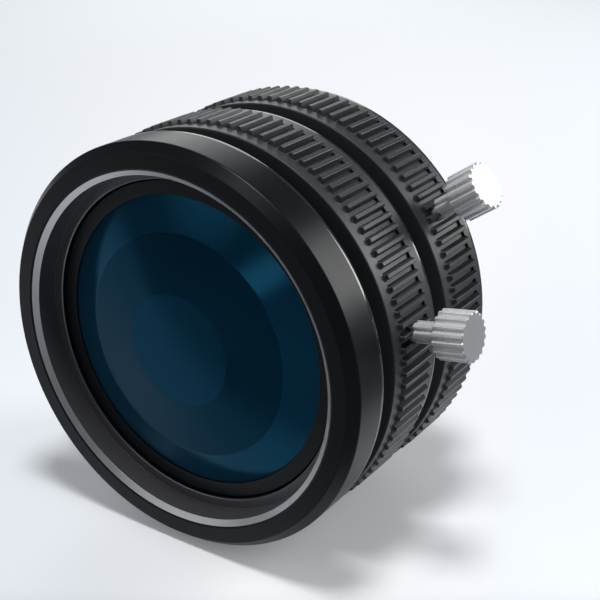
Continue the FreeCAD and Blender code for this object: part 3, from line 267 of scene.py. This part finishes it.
# Focus ring and iris ring
# Turned aluminium rings with a raised band of straight knurling, milled tooth by tooth, then black
# anodised, with a polished rear edge. A steel pin in the iris ring reaches in to the diaphragm.
TEETH = 108
TIP_WIDTH = 0.30
FLOOR_WIDTH = 0.29
TIP_RISE = 0.33
FLOOR_DROP = 0.17
MARGIN = 1.08  # the plain stretch in front of the band, whose radius lies between tips and floors
BAND = 3.8  # how long the toothed band is
EASE = 0.035  # how far a tooth's edges are broken
RING_FIT = 13.15
FOCUS_START, FOCUS_END = 5.55, 11.7
IRIS_START, IRIS_END = 13.13, 19.08
EDGE_WIDTH = 0.38  # the polished rear edge, outside EDGE_RADIUS
EDGE_RADIUS = 15.2


def knurled_ring(name, radius, start, end, phase, inner):
    """A ring whose band has teeth: at each place the radius depends on the angle from the gap's centre.

    Six angles carry each pitch: the floor's two sides, the end of a flank, the tip's two sides and
    the start of the next flank, with the corner broken between flank and tip. The band's ends are
    walls between the margin and the toothed outline.
    """
    tip = radius + TIP_RISE
    floor = radius - FLOOR_DROP
    pitch = 2 * math.pi / TEETH
    gap_half = (pitch * tip - TIP_WIDTH) / 2
    slope = (gap_half - FLOOR_WIDTH / 2) / (tip - floor)
    knee = gap_half - slope * EASE
    across = np.array([-FLOOR_WIDTH / 2, FLOOR_WIDTH / 2, knee, gap_half + EASE,
                       pitch * tip - gap_half - EASE, pitch * tip - knee])
    reach = np.array([floor, floor, tip - EASE, tip, tip, tip - EASE])
    angle = (math.radians(phase) + across[None] / tip + pitch * np.arange(TEETH)[:, None]).ravel()
    toothed = np.tile(reach, TEETH)
    band_start, band_end = start + MARGIN, start + MARGIN + BAND
    front = softened([inner[-1], (radius, start), (radius, band_start)], [EASED, 0.1, 0.02])
    rear = softened([(radius, band_end), (radius, end), inner[0]], [0.02, 0.25, EASED])
    bore = softened([(radius, end), *inner, (radius, start)], EASED)
    front, rear = front[PER_CORNER:1 - PER_CORNER], rear[PER_CORNER - 1:-PER_CORNER]
    cosine, sine = np.cos(angle)[:, None], np.sin(angle)[:, None]

    def carried(outline):
        """Points of a plain outline at every angle of the ring."""
        place = np.broadcast_to(outline[:, 1] - FLANGE, (len(angle), len(outline)))
        return np.stack([outline[:, 0] * cosine, place, outline[:, 0] * sine], axis=-1)

    full = toothed[:, None]
    eased = np.where(full > radius, full - EASE, full)
    stations = ((band_start, eased), (band_start + EASE, full), (band_end - EASE, full), (band_end, eased))
    band = [np.stack([outer * cosine, np.full_like(cosine, place - FLANGE), outer * sine], axis=-1)
            for place, outer in stations]
    behind = carried(np.concatenate([rear, bore[PER_CORNER:-PER_CORNER]]))
    return grid_piece(name, np.concatenate([carried(front), *band, behind], axis=1), sharp=28)


def face_places(piece):
    """Radius and place behind the front face of each face's centre, in mm."""
    centre = np.empty(len(piece.data.polygons) * 3)
    piece.data.polygons.foreach_get("center", centre)
    x, y, z = centre.reshape(-1, 3).T / MM
    return np.hypot(x, z), y + FLANGE


def between(number, low, high):
    """Where a number lies between two limits."""
    return (number > low) & (number < high)


def refinish(piece, material, faces):
    """Gives some faces of a finished piece a material of their own."""
    polygons = piece.data.polygons
    index = np.empty(len(polygons), np.int32)
    polygons.foreach_get("material_index", index)
    index[faces] = len(piece.data.materials)
    piece.data.materials.append(material)
    polygons.foreach_set("material_index", index)


FOCUS_BORE = [(RING_FIT, FOCUS_END), (RING_FIT, 6.5), (14.05, 6.5), (14.05, FOCUS_START)]
IRIS_BORE = [(RING_FIT, IRIS_END), (RING_FIT, IRIS_START)]
KNURL = marked_metal("anodised_knurl", (0.050, 0.054, 0.058), 0.40, 0.03, specular=0.3, depth=0.02)
focus_ring = knurled_ring("focus_knurl", 15.41, FOCUS_START, FOCUS_END, 1.92, FOCUS_BORE)
iris_ring = knurled_ring("iris_knurl", 15.5, IRIS_START, IRIS_END, 2.07, IRIS_BORE)
POLISHED = marked_metal("polished_edge", (0.02, 0.02, 0.022), 0.13, 0.02, specular=0.6, depth=0.0)
for piece, body, node, edge in ((focus_ring, "focus_group", "focus_ring", FOCUS_END),
                                (iris_ring, "iris_group", "iris_ring", IRIS_END)):
    finish(piece, KNURL)
    radius, place = face_places(piece)
    refinish(piece, POLISHED, between(place, edge - EDGE_WIDTH, edge) & (radius > EDGE_RADIUS))
    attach(piece, body)
    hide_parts(node)
finish("iris_drive_pin", BLACK_STEEL)

# Front barrel
# The nose and the sleeve behind it that slides in the main barrel, turned from one bar. The bevel
# inside the rim is cut after anodising, so it shows bare metal, and the bore behind it is satin.
NOSE_RADIUS = 15.6
NOSE_END = 3.9
BORE_RADIUS = 13.245
BORE_END = 2.15
BEVEL_RADIUS = 13.66
BEVEL_END = 0.40
LEDGE_INNER, LEDGE_OUTER = 12.48, 12.55  # the small bevel at the foot of the bore
NOSE = [(BORE_RADIUS, BORE_END), (BORE_RADIUS, BEVEL_END), (BEVEL_RADIUS, 0.081), (13.70, 0.05), (13.80, 0.0),
        (14.97, 0.0), (NOSE_RADIUS, 0.765), (NOSE_RADIUS, NOSE_END), (12.3, NOSE_END), (12.3, 11.2),
        (11.6, 11.2), (11.6, 13.1), (7.7, 13.1), (7.7, 12.55), (9.63, 12.55), (9.63, 5.9), (11.73, 5.9),
        (11.73, 3.55), (LEDGE_INNER, 3.55), (LEDGE_INNER, 2.23), (LEDGE_OUTER, BORE_END)]
NOSE_EASE = [0.03, 0.02, 0.02, 0.02, 0.05, 0.06, 0.08, 0.3] + [EASED] * 11 + [0.02, 0.02]
NOSE_STEPS = 288
BARE_PLACES = (0.08, BEVEL_END)  # from this place to that one behind the front face, as the next three
SATIN_PLACES = (BEVEL_END, 2.16)
EDGE_PLACES = (3.44, NOSE_END)
LEDGE_PLACES = (2.153, 2.227)
SATIN_RADIUS = 13.3
NOSE_EDGE_RADIUS = 15.3
nose = turned("nose_and_sleeve", NOSE, NOSE_EASE, NOSE_STEPS)
BARE = marked_metal("bare_bevel", (0.56, 0.57, 0.58), 0.40, 0.03, metallic=1.0, depth=0.05)
SATIN = marked_metal("satin_bore", (0.075, 0.075, 0.085), 0.35, 0.03, depth=0.05)
WORN = marked_metal("worn_edge", (0.18, 0.18, 0.19), 0.40, 0.03, metallic=1.0, depth=0.05)
finish(nose, ANODISED)
radius, place = face_places(nose)
refinish(nose, BARE, between(place, *BARE_PLACES) & (radius < BEVEL_RADIUS))
refinish(nose, SATIN, between(place, *SATIN_PLACES) & (radius < SATIN_RADIUS))
refinish(nose, POLISHED, between(place, *EDGE_PLACES) & (radius > NOSE_EDGE_RADIUS))
refinish(nose, WORN, between(place, *LEDGE_PLACES) & between(radius, LEDGE_INNER, LEDGE_OUTER))
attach(nose, "optical_unit")
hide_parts("front_barrel")

# Front retaining ring
# A thin ring of black anodised aluminium, screwed in over the edge of the front glass. Its lip is
# bevelled to follow the glass.
FRONT_RING = [(11.29, 2.45), (12.34, 2.45), (12.46, 2.57), (12.46, 3.5), (11.78, 3.5), (11.78, 2.68),
              (11.29, 2.53)]
front_ring = turned("front_glass_ring", FRONT_RING, 0.02)
finish(front_ring, ANODISED)
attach(front_ring, "optical_unit")
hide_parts("front_retaining_ring")

# Front glass
# The domed first element, polished glass with a dark blue coating. It shows three zones, each a shallow cone,
# and each zone's blue is lightened or darkened as painted reflection: the outer zone lighter, the middle one
# darker.
INNER_ZONE = 4.34
MIDDLE_ZONE = 8.68
DOME = [(0.0, 0.75), (INNER_ZONE, 1.01), (MIDDLE_ZONE, 1.80), (11.7, 2.70)]
GLASS_BACK = [(11.7, 4.70), (8.0, 4.30), (4.0, 4.04), (0.0, 3.95)]
ZONE_EASE = 0.12
GLASS_IOR = 1.5
GLASS_MOTTLE = 150
GLASS_SPREAD = 0.02
TINT_SHADE = 0.85
COATING = (0.0055, 0.045, 0.085)


def capped_piece(name, points, first_pole, last_pole, sharp=35):
    """A piece over a grid that joins up one way round and closes at each end in a fan round a pole."""
    rows, columns = points.shape[:2]
    index = np.arange(rows * columns).reshape(rows, columns)
    ahead = np.roll(index, -1, axis=0)
    cells = np.stack([index[:, :-1], ahead[:, :-1], ahead[:, 1:], index[:, 1:]], axis=-1)
    first_fan = np.stack([np.full(rows, rows * columns), ahead[:, 0], index[:, 0]], axis=-1)
    last_fan = np.stack([np.full(rows, rows * columns + 1), index[:, -1], ahead[:, -1]], axis=-1)
    points = np.concatenate([points.reshape(-1, 3), [first_pole, last_pole]])
    return skin(name, points, cells.reshape(-1, 4), np.concatenate([first_fan, last_fan]), sharp)


def dome_glass(name, front, back, zone_ease):
    """A glass turned about the axis: its outline runs from the front pole to the rear pole."""
    outline = softened(np.array(front + back), zone_ease)[PER_CORNER:-PER_CORNER]
    poles = [(0, pole[1] - FLANGE, 0) for pole in (front[0], back[-1])]
    return capped_piece(name, turned_grid(outline, TURN_STEPS), *poles)


def coated_glass(name, colour, transmission, roughness, metallic=0.0, specular=0.5):
    """Glass with a coloured coating: a tint, and a faint mottle in the tint and the roughness.

    The more metallic the coating, the more it reflects in its own colour, like a thin metal film.
    """
    material = bpy.data.materials.new(name)
    material.use_nodes = True
    tree = material.node_tree
    shader = tree.nodes["Principled BSDF"]
    shader.inputs["Metallic"].default_value = metallic
    shader.inputs["Transmission Weight"].default_value = transmission
    shader.inputs["IOR"].default_value = GLASS_IOR
    shader.inputs["Specular IOR Level"].default_value = specular
    pattern = marks_in(tree, GLASS_MOTTLE)
    tone = tree.nodes.new("ShaderNodeMapRange")
    tone.inputs["To Min"].default_value = roughness - GLASS_SPREAD
    tone.inputs["To Max"].default_value = roughness + GLASS_SPREAD
    tree.links.new(pattern.outputs["Mottle"], tone.inputs["Value"])
    tree.links.new(tone.outputs["Result"], shader.inputs["Roughness"])
    shaded(tree, pattern.outputs["Mottle"], colour, TINT_SHADE)
    return material


def blue_with_painted_reflection(zone, painted_reflection_share):
    """The opaque blue coating of one zone: the plain colour times a share that is painted reflection."""
    colour = [painted_reflection_share * part for part in COATING]
    return coated_glass(zone + "_blue_with_painted_reflection", colour, 0.0, 0.14, metallic=0.5, specular=0.0)


front_glass = dome_glass("domed_front_glass", DOME, GLASS_BACK, ZONE_EASE)
# painted reflection: the inner zone a little lighter than the plain coating, the middle darker, the outer
# much lighter
finish(front_glass, blue_with_painted_reflection("inner", 1.05))
radius, _ = face_places(front_glass)
refinish(front_glass, blue_with_painted_reflection("middle", 0.80), between(radius, INNER_ZONE, MIDDLE_ZONE))
refinish(front_glass, blue_with_painted_reflection("outer", 1.35), radius > MIDDLE_ZONE)
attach(front_glass, "optical_unit")
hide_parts("front_element")

# Inner glass and its spacers
# Two cemented pairs of clear glass with a pale coating, and the black turned tubes that hold and
# space them. They show only through the rear glass.
INNER_GLASS = coated_glass("inner_coating", (0.55, 0.70, 0.72), 0.9, 0.05)
for node in ("second_element", "third_element", "fourth_element", "fifth_element"):
    finish(node, INNER_GLASS)
for node in ("front_spacer", "rear_spacer", "iris_housing"):
    finish(node, ANODISED)

# Diaphragm
# Six thin blackened blades on a base plate, punched from sheet, and swung together by the slotted
# ring behind them.
BLADE_COUNT = 6
BLADE = marked_metal("blackened_blade", (0.012, 0.012, 0.013), 0.45, metallic=0.3, specular=0.2)
for node in ("iris_base_plate", "iris_actuator_ring"):
    finish(node, BLADE)
for number in range(1, BLADE_COUNT + 1):
    finish(f"iris_blade_{number}", BLADE)

# Follower pins and lock pads
# Small turned brass parts: three pins that carry the lens unit in the focus ring's grooves, and a
# pad under each thumbscrew that bears on the barrel.
BRASS = marked_metal("turned_brass", (0.62, 0.43, 0.17), 0.3, metallic=1.0)
for node in ("follower_pins", "focus_lock_pad", "iris_lock_pad"):
    finish(node, BRASS)

# Rear cell
# The black tube that holds the rear glasses, with its own retaining ring in the mouth. The last
# glass is clear, with a faint mauve coating.
CELL = [(5.2, 15.45), (10.6, 15.45), (10.6, 18.1), (11.58, 18.1), (11.58, 18.85), (10.8, 18.85), (10.8, 23.4),
        (9.58, 23.4), (9.58, 22.27), (8.23, 22.27), (8.23, 19.6), (7.83, 19.6), (7.83, 15.9), (5.2, 15.9)]
REAR_RING = [(7.6, 22.45), (8.2, 22.34), (9.56, 22.34), (9.56, 23.15), (8.03, 23.15), (7.6, 22.75)]
rear_cell = turned("rear_cell_tube", CELL)
rear_ring = turned("rear_glass_ring", REAR_RING, 0.04)
for piece, node in ((rear_cell, "rear_cell"), (rear_ring, "rear_retaining_ring")):
    finish(piece, ANODISED)
    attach(piece, "optical_unit")
    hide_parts(node)
REAR_FACE = [(0.0, 20.95), (2.8, 21.05), (5.5, 21.33), (8.2, 21.80)]
REAR_BACK = [(8.2, 22.25), (5.5, 22.72), (2.8, 23.0), (0.0, 23.1)]
REAR_EASE = 0.8
rear_glass = dome_glass("rear_glass", REAR_FACE, REAR_BACK, REAR_EASE)
finish(rear_glass, coated_glass("mauve_coating", (0.55, 0.42, 0.55), 0.95, 0.04))
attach(rear_glass, "optical_unit")
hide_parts("rear_element")

# Thumbscrews
# One through each ring, bright nickel on brass: a neck with six flutes, and a head with eighteen that fingers
# can turn. The end is faced flat with a broken edge, and its nickel is darker as painted shade.
FLUTES = 18
POINTS_PER_FLUTE = 14
FLUTE_RADIUS = 0.2
NECK_FLUTES = 6
NECK_RADIUS = 0.8
HEAD_RADIUS = 1.81
TIP = 13.7  # distances along the screw count from the optical axis
HEAD_START, HEAD_END = 17.65, 20.05
SCREW_OUTLINE = [(0.3, TIP, 0, 0), (0.55, TIP, 0, 0), (NECK_RADIUS, 13.95, 0, 0),
                 (NECK_RADIUS, 15.0, 0, 0), (NECK_RADIUS, 15.05, 0, 1), (NECK_RADIUS, 17.6, 0, 1),
                 (0.82, HEAD_START, 0, 0.9), (1.5, HEAD_START, 0.35, 0), (1.70, HEAD_START, 0.83, 0),
                 (HEAD_RADIUS, 17.73, 1, 0), (HEAD_RADIUS, 19.97, 1, 0),
                 (1.74, HEAD_END, 0.9, 0), (1.50, HEAD_END, 0.37, 0), (0.8, HEAD_END, 0, 0)]
FACED_SLOPE = 0.9  # the cosine between the axis and a faced surface's normal is above this; those faces get the darker nickel, painted shade
NICKEL = marked_metal("bright_nickel", (0.88, 0.88, 0.89), 0.28, 0.02, metallic=0.2, depth=0.0)
# painted shade: a darker copy of the nickel for the faces at the screw's end
END_NICKEL_PAINTED_SHADE = marked_metal("end_nickel_painted_shade", (0.60, 0.60, 0.61), 0.30, 0.02, metallic=0.35, depth=0.0)


def fluted_screw(name, bearing, place):
    """A screw along a radius: rings of points at distances from the optical axis, each ring a circle.

    The circle is pulled in at each flute by sqrt(f^2 - w^2), where w is the distance round the screw
    from the flute's centre and f is the flute's radius, so each flute is a half-round groove. A row
    of SCREW_OUTLINE is radius, distance, share of the head's flutes, share of the neck's flutes.
    """
    turn = np.linspace(0, 2 * math.pi, FLUTES * POINTS_PER_FLUTE, endpoint=False)

    def grooves(count, reach):
        """Depth of the flutes at each turn, for so many flutes round so large a radius."""
        pitch = 2 * math.pi / count
        beside = (np.mod(turn + pitch / 2, pitch) - pitch / 2) * reach
        return np.sqrt(np.clip(FLUTE_RADIUS ** 2 - beside ** 2, 0, None))[:, None]

    radius, height, on_head, on_neck = np.array(SCREW_OUTLINE).T
    radius = radius - grooves(FLUTES, HEAD_RADIUS) * on_head - grooves(NECK_FLUTES, NECK_RADIUS) * on_neck
    height = np.broadcast_to(height, radius.shape)
    local = np.stack([radius * np.cos(turn)[:, None], radius * np.sin(turn)[:, None], height], axis=-1)
    outward = np.array([math.cos(bearing), 0, math.sin(bearing)])
    aside = np.array([-math.sin(bearing), 0, math.cos(bearing)])
    forward = np.array([0, 1, 0])
    middle = np.array([0, place - FLANGE, 0])
    points = middle + local[..., 2:] * outward + local[..., :1] * aside + local[..., 1:2] * forward
    screw = capped_piece(name, points, middle + TIP * outward, middle + HEAD_END * outward, sharp=25)
    finish(screw, NICKEL)
    # painted shade: the faces that look out along the screw get the darker nickel
    normal = np.empty(len(screw.data.polygons) * 3)
    screw.data.polygons.foreach_get("normal", normal)
    refinish(screw, END_NICKEL_PAINTED_SHADE, normal.reshape(-1, 3) @ outward > FACED_SLOPE)
    return screw


for name, bearing, place, stem in (("focus_thumbscrew", 9.75, 8.53, "focus"),
                                   ("iris_thumbscrew", 34.86, 16.11, "iris")):
    screw = fluted_screw(name, math.radians(bearing), place)
    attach(screw, stem + "_screw")
    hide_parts(stem + "_lock_screw")

# Floor, lights and camera
# A white sheet edged with grey painted shade, five soft lamps and a faint sky, and the camera where the
# photograph was taken from.
FLOOR = -15.86 * MM
FLOOR_REACH = 3.0
RIGHT, UP, FORWARD = (0.8305, 0.5571, 0.0), (-0.2256, 0.3364, 0.9143), (-0.5093, 0.7593, -0.4050)
BACK = (-0.5571, 0.8305, 0.0)  # level, away from the camera
CAMERA_RIGHT, CAMERA_BACK = 0.0017, 0.0944  # how far left of and before the origin the camera stands, m
SHEET_WHITE, SHEET_BLUE = (0.935, 0.945, 0.970), (0.875, 0.915, 0.965)
FAR_SHEET = (0.87, 0.90, 0.94)
# painted shade: the grey beyond the sheet's near and right edges, seen only in the lens's reflections
PAINTED_SHADE_GREY = (0.28, 0.29, 0.31)
BLUE_ASIDE = (0.06, 0.30)  # the slope to the side over which white turns blue
FAR_BACK = (0.05, 0.20)  # m back, over which the far colour takes over
NEAR_EDGE = (-0.033, -0.022)  # m back, from the grey painted shade to the sheet
SIDE_EDGE = (0.0327, 0.0287)  # m towards the side edge, from the grey painted shade to the sheet
TO_SIDE_EDGE = (0.9546, 0.3722, 0.0)
NEAR_GLOW = (-0.02, 0.03, 0.15, 0.05)  # from this place back to that one, from this glow to that one
FAR_GLOW = (0.03, 0.21, 0.0, 0.03)


def pale_floor():
    """A white sheet edged with grey painted shade, whitest along the middle and faintly blue to the sides.

    The blue runs with (place across) / (place back), both counted from where the camera stands. The sheet's
    near edge and its right edge lie just outside the picture; the grey beyond them is painted shade, there to
    darken what the lens reflects in front. Rays that come from the camera, or by reflection or through glass,
    also see a little light of the sheet's own, most at the front.
    """
    mesh = bpy.data.meshes.new("floor")
    corners = [(x * FLOOR_REACH, y * FLOOR_REACH, FLOOR) for x, y in ((-1, -1), (1, -1), (1, 1), (-1, 1))]
    mesh.from_pydata(corners, [], [(0, 1, 2, 3)])
    floor = bpy.data.objects.new("floor", mesh)
    bpy.context.scene.collection.objects.link(floor)
    material = bpy.data.materials.new("pale_floor")
    material.use_nodes = True
    tree = material.node_tree
    tree.nodes.clear()
    new, link = tree.nodes.new, tree.links.new
    place = new("ShaderNodeTexCoord")

    def along(vector):
        """How far a place lies along a direction."""
        product = new("ShaderNodeVectorMath")
        product.operation = "DOT_PRODUCT"
        product.inputs[1].default_value = vector
        link(place.outputs["Object"], product.inputs[0])
        return product.outputs["Value"]

    def combined(operation, first, second):
        """Two numbers, each a socket or a constant, put together by a math operation."""
        node = new("ShaderNodeMath")
        node.operation = operation
        for socket, number in zip(node.inputs, (first, second)):
            if isinstance(number, (int, float)):
                socket.default_value = number
            else:
                link(number, socket)
        return node.outputs[0]

    def ramp(number, start, end, low=0.0, high=1.0):
        """A number carried smoothly from low at start to high at end."""
        node = new("ShaderNodeMapRange")
        node.interpolation_type = "SMOOTHSTEP"
        for name, level in (("From Min", start), ("From Max", end), ("To Min", low), ("To Max", high)):
            node.inputs[name].default_value = level
        link(number, node.inputs["Value"])
        return node.outputs["Result"]

    def mixed(share, first, second):
        """A colour between two colours, each a socket or a constant."""
        node = new("ShaderNodeMix")
        node.data_type = "RGBA"
        link(share, node.inputs["Factor"])
        for name, shade in (("A", first), ("B", second)):
            if isinstance(shade, tuple):
                node.inputs[name].default_value = (*shade, 1)
            else:
                link(shade, node.inputs[name])
        return node.outputs["Result"]

    back = along(BACK)
    from_camera = combined("ADD", back, CAMERA_BACK)
    aside = combined("DIVIDE", combined("ADD", along(RIGHT), CAMERA_RIGHT), from_camera)
    sheet = mixed(ramp(combined("ABSOLUTE", aside, 0.0), *BLUE_ASIDE), SHEET_WHITE, SHEET_BLUE)
    sheet = mixed(ramp(back, *FAR_BACK), sheet, FAR_SHEET)
    on_sheet = combined("MULTIPLY", ramp(back, *NEAR_EDGE), ramp(along(TO_SIDE_EDGE), *SIDE_EDGE))
    # beyond the sheet's edges the colour is the grey painted shade
    shade = mixed(on_sheet, PAINTED_SHADE_GREY, sheet)
    matt = new("ShaderNodeBsdfDiffuse")
    link(shade, matt.inputs["Color"])
    glow = new("ShaderNodeEmission")
    link(shade, glow.inputs["Color"])
    rays = new("ShaderNodeLightPath")
    seen = combined("MAXIMUM", rays.outputs["Is Camera Ray"], rays.outputs["Is Glossy Ray"])
    seen = combined("MAXIMUM", seen, rays.outputs["Is Transmission Ray"])
    share = combined("ADD", ramp(back, *NEAR_GLOW), ramp(back, *FAR_GLOW))
    link(combined("MULTIPLY", seen, share), glow.inputs["Strength"])
    both = new("ShaderNodeAddShader")
    link(matt.outputs[0], both.inputs[0])
    link(glow.outputs[0], both.inputs[1])
    output = new("ShaderNodeOutputMaterial")
    link(both.outputs[0], output.inputs["Surface"])
    mesh.materials.append(material)
    return floor


pale_floor()
LENS_MIDDLE = (0, -0.008, 0)


def lamp(name, direction, distance, size, power):
    """A rectangular area lamp at a distance in a direction from the lens's middle, facing it."""
    light = bpy.data.lights.new(name, "AREA")
    light.shape = "RECTANGLE"
    light.size, light.size_y = size
    light.energy = power
    direction = np.array(direction) / np.linalg.norm(direction)
    across = np.cross((0, 0, 1), direction)
    across /= np.linalg.norm(across)
    upward = np.cross(direction, across)
    place = Matrix.Identity(4)
    for column, vector in enumerate((across, upward, direction, LENS_MIDDLE + distance * direction)):
        place.col[column][:3] = vector
    piece = bpy.data.objects.new(name, light)
    piece.matrix_world = place
    bpy.context.scene.collection.objects.link(piece)


lamp("overhead_lamp", (0.08, -0.12, 1.0), 0.35, (0.08, 0.08), 0.71)
lamp("left_back_lamp", (-0.55, 0.76, 0.41), 0.30, (0.18, 0.14), 0.18)
lamp("right_back_lamp", (0.61, 0.76, 0.38), 0.30, (0.10, 0.16), 0.42)
lamp("front_left_fill", (-0.54, -0.69, 0.475), 0.35, (0.26, 0.26), 0.16)
lamp("front_strip", (-0.17, -0.98, 0.0), 0.30, (0.05, 0.03), 0.008)

SKY = (0.90, 0.94, 1.0, 1)
SKY_STRENGTH = 0.12
world = bpy.data.worlds.new("studio")
bpy.context.scene.world = world
world.use_nodes = True
world.node_tree.nodes["Background"].inputs["Color"].default_value = SKY
world.node_tree.nodes["Background"].inputs["Strength"].default_value = SKY_STRENGTH

CAMERA_PLACE = (51.217, -59.518, 38.930)  # from the middle of the front face
camera_data = bpy.data.cameras.new("camera")
camera_data.sensor_width = 36
camera_data.lens = 72.86
camera_data.clip_start = MM
camera = bpy.data.objects.new("camera", camera_data)
bpy.context.scene.collection.objects.link(camera)
view = Matrix.Identity(4)
for column, vector in enumerate((RIGHT, UP, [-part for part in FORWARD])):
    view.col[column][:3] = vector
view.col[3][:3] = (CAMERA_PLACE[0] * MM, (CAMERA_PLACE[1] - FLANGE) * MM, CAMERA_PLACE[2] * MM)
camera.matrix_world = view
bpy.context.scene.camera = camera
bpy.context.scene.view_settings.view_transform = "Standard"
